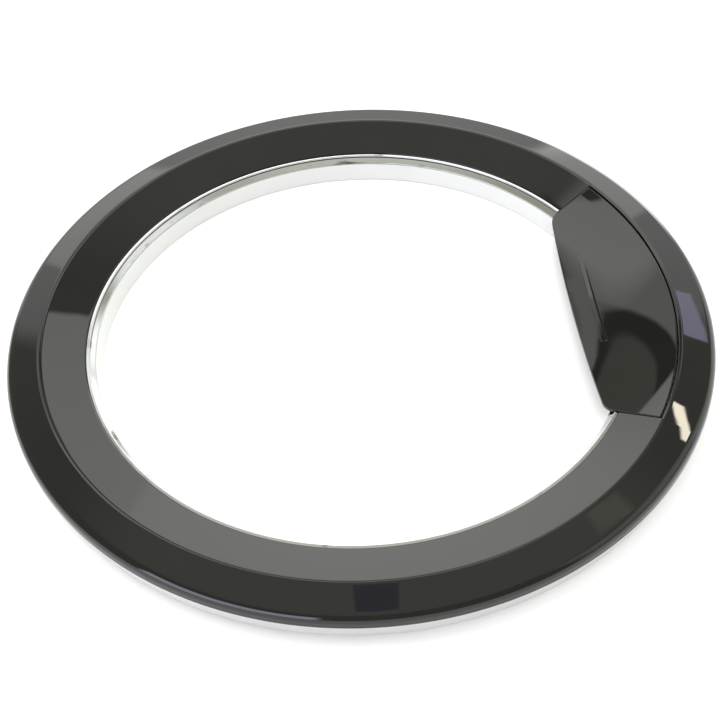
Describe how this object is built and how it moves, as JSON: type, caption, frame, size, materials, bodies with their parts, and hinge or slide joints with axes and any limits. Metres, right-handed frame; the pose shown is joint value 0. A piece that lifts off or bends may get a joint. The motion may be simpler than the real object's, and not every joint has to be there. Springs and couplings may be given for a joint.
{
  "type": "washing machine door",
  "caption": "Round glossy black front-loader door ring with a bright window trim, a white back frame and a sprung pull handle that works a catch.",
  "frame": {"origin": "centre of the back plane of the door", "axes": "+Z out of the front face, +X towards the handle, -X the hinge side"},
  "size_m": [0.47, 0.47, 0.0267],
  "materials": {
    "gloss_black": "high gloss black ABS",
    "white_plastic": "satin white polypropylene",
    "bright_trim": "bright plated plastic",
    "matte_black": "matte black polyamide",
    "steel": "zinc-plated steel",
    "spring_steel": "spring steel"
  },
  "bodies": {
    "door": {"outer_frame": "gloss_black", "inner_frame": "white_plastic", "trim_ring": "bright_trim", "bearing_bracket_lower": "matte_black", "bearing_bracket_upper": "matte_black", "pin_clips": "spring_steel", "handle_pin": "steel", "handle_spring": "spring_steel", "catch_housing": "matte_black", "catch_pin": "steel", "catch_spring": "spring_steel", "hinge_plate": "steel", "frame_screws": "steel", "fixing_screws": "steel"},
    "handle": {"handle_cover": "gloss_black", "handle_lever": "matte_black"},
    "catch": {"catch_hook": "steel"}
  },
  "joints": [
    {"name": "handle_pull", "type": "hinge", "parent": "door", "child": "handle", "pos_m": [0.196, 0, 0.0152], "axis": [0, 1, 0], "range_deg": [0, 6], "stiffness_Nm_per_rad": 1.2, "springref_deg": -5.73},
    {"name": "catch_release", "type": "hinge", "parent": "door", "child": "catch", "pos_m": [0.19, 0, 0.0105], "axis": [0, 1, 0], "range_deg": [0, 13.8]}
  ],
  "couplings": [
    {"joint": "catch_release", "follows": "handle_pull", "ratio": 2.3}
  ]
}
